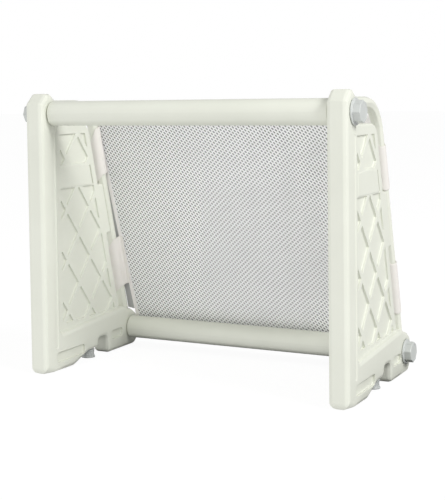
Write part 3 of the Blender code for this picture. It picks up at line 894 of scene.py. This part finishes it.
def camera():
    """Camera at the photo's angle, with the photo's optical axis."""
    level = math.cos(CAMERA_PITCH)
    ahead = Vector((-math.sin(CAMERA_YAW) * level, math.cos(CAMERA_YAW) * level, -math.sin(CAMERA_PITCH)))
    right = Vector((math.cos(CAMERA_YAW), math.sin(CAMERA_YAW), 0.0))
    up = right.cross(ahead)
    tilt_right = right * math.cos(CAMERA_ROLL) + up * math.sin(CAMERA_ROLL)
    tilt_up = up * math.cos(CAMERA_ROLL) - right * math.sin(CAMERA_ROLL)
    turn = Matrix((tilt_right, tilt_up, -ahead)).transposed().to_4x4()
    lens = bpy.data.cameras.new("photo_camera")
    lens.sensor_width = SENSOR
    lens.lens = SENSOR * FOCAL_PIXELS / max(IMAGE)
    lens.shift_x = (IMAGE[0] / 2 - AXIS_PIXEL[0]) / max(IMAGE)
    lens.shift_y = (AXIS_PIXEL[1] - IMAGE[1] / 2) / max(IMAGE)
    made = bpy.data.objects.new("photo_camera", lens)
    made.matrix_world = Matrix.Translation(CAMERA_AT) @ turn
    scene.collection.objects.link(made)
    scene.camera = made


def lamp(name, place, aim, size, power):
    """Soft square lamp that faces a point."""
    light = bpy.data.lights.new(name, "AREA")
    light.size = size
    light.energy = power
    made = bpy.data.objects.new(name, light)
    made.location = place
    made.rotation_euler = (Vector(aim) - Vector(place)).to_track_quat("-Z", "Y").to_euler()
    scene.collection.objects.link(made)


def ground(name, size, level, colour, glow=0.0):
    """Flat square of the set, which stays out of the model."""
    work = bmesh.new()
    bmesh.ops.create_grid(work, x_segments=1, y_segments=1, size=size)
    mesh = bpy.data.meshes.new(name)
    work.to_mesh(mesh)
    work.free()
    plain = Shader(name, 0.9, Specular_IOR_Level=0.0, Emission_Color=WHITE, Emission_Strength=glow)
    plain.colour(plain.mix(plain.noise(3.0, 2.0), colour, dimmed(colour, 0.99)))
    mesh.materials.append(plain.material)
    made = bpy.data.objects.new(name, mesh)
    made.location.z = level
    scene.collection.objects.link(made)
    return made


def surroundings():
    """World that shows white behind the goal and lights it most from one side."""
    world = bpy.data.worlds.new("studio")
    world.use_nodes = True
    tree = world.node_tree
    direction = tree.nodes.new("ShaderNodeTexCoord")
    parts = tree.nodes.new("ShaderNodeSeparateXYZ")
    rise = tree.nodes.new("ShaderNodeMapRange")
    rise.inputs["From Min"].default_value = -1.0
    facing = tree.nodes.new("ShaderNodeVectorMath")
    facing.operation = "DOT_PRODUCT"
    facing.inputs[1].default_value = SKY_FROM
    depth = tree.nodes.new("ShaderNodeMapRange")
    for label, number in (("From Min", -1.0), ("To Min", SKY_BACK), ("To Max", SKY_FRONT)):
        depth.inputs[label].default_value = number
    ramp = tree.nodes.new("ShaderNodeValToRGB")
    stops = ramp.color_ramp.elements
    while len(stops) < len(SKY):
        stops.new(0.5)
    for stop, (height, bright) in zip(stops, SKY):
        stop.position = (height + 1) / 2
        stop.color = (bright, bright, bright, 1.0)
    lit = tree.nodes["Background"]
    seen = tree.nodes.new("ShaderNodeBackground")
    seen.inputs["Color"].default_value = WHITE
    path = tree.nodes.new("ShaderNodeLightPath")
    choice = tree.nodes.new("ShaderNodeMixShader")
    for source, target in (
        (direction.outputs["Generated"], parts.inputs[0]),
        (parts.outputs["Z"], rise.inputs["Value"]),
        (direction.outputs["Generated"], facing.inputs[0]),
        (facing.outputs["Value"], depth.inputs["Value"]),
        (rise.outputs["Result"], ramp.inputs["Fac"]),
        (ramp.outputs["Color"], lit.inputs["Color"]),
        (depth.outputs["Result"], lit.inputs["Strength"]),
        (path.outputs["Is Camera Ray"], choice.inputs["Fac"]),
        (lit.outputs[0], choice.inputs[1]),
        (seen.outputs[0], choice.inputs[2]),
        (choice.outputs[0], tree.nodes["World Output"].inputs["Surface"]),
    ):
        tree.links.new(source, target)
    scene.world = world


def studio():
    """Pale floor, dull cards under the goal that only shade it, white surroundings and a soft lamp."""
    floor = ground("floor", FLOOR_SIZE, 0.0, FLOOR, FLOOR_GLOW)
    floor.visible_diffuse = False
    floor.visible_glossy = False
    floor.visible_shadow = False
    for name, (middle, reach) in CARDS.items():
        card = ground("card_" + name, 1.0, CARD_LEVEL, CARD)
        card.location.xy = middle
        card.scale.xy = reach
        card.visible_camera = False
    surroundings()
    lamp("key", KEY_AT, KEY_AIM, KEY_SIZE, KEY_POWER)
    scene.view_settings.view_transform = "Standard"
    scene.view_settings.look = "None"


camera()
studio()
PANEL_PLASTIC = moulded("panel_plastic", IVORY, IVORY_DEEP, 0.5, 900.0, 0.15, seam=(0, PANEL_SPAN / 2))
BAR_PLASTIC = moulded("bar_plastic", IVORY, IVORY_DEEP, 0.5, 1100.0, 0.3)
NUT_PLASTIC = moulded("nut_plastic", GREY, GREY_DEEP, 0.38, 1300.0, 0.5)
NET_YARN = knitted("net_yarn", YARN, YARN_DEEP)
# The net's inner sheet is painted shade: a nearly black yarn that darkens the holes
NET_SHADE_SHEET = knitted("net_painted_shade", SHADE_SHEET, SHADE_SHEET_DEEP)
# The side hems' grey outer part is painted shade from the rim
SIDE_TAPE = woven("side_tape", TAPE, TAPE_DEEP, 0.9, grey=(painted_shade_line(), HEM_PAINTED_SHADE))
CROSS_TAPE = woven("cross_tape", TAPE, TAPE_DEEP, 0.9)
FLAP_CLOTH = woven("flap_cloth", CLOTH, CLOTH_DEEP, 0.7)
THREAD = knitted("thread", TAPE, TAPE_DEEP)
HOOK_TAPE = hooked("hook_tape", HOOK, HOOK_DEEP)
CUP_VINYL = clear_vinyl("cup_vinyl", CLEAR, CLEAR_DEEP)

for hand, label in ((-1, "left"), (1, "right")):
    piece("moulding_" + label, softened("side_panel_" + label), PANEL_PLASTIC, "ivory_hdpe",
          "side_panel_" + label)
    nut("cap_top_" + label, hand, TOP_AXIS, 0.0, TOP_NUT_TURN)
    nut("cap_bottom_" + label, hand, BOTTOM_AXIS, SEAT_DEEP, BOTTOM_NUT_TURN)
    side_hem(hand, label)
    for row_name in FLAPS:
        flap(hand, label, row_name)
        hook_patch(hand, label, row_name)
    suction_cup(hand, label)
bar("bar_top", TOP_AXIS, 0.0)
bar("bar_bottom", BOTTOM_AXIS, SEAT_DEEP)
cross_hem("top", NET_TOP - HEM_TOP, NET_TOP, "hem_left", "hem_right")
cross_hem("bottom", NET_BOTTOM, NET_BOTTOM + HEM_BOTTOM, "crossbar_bottom")
net()
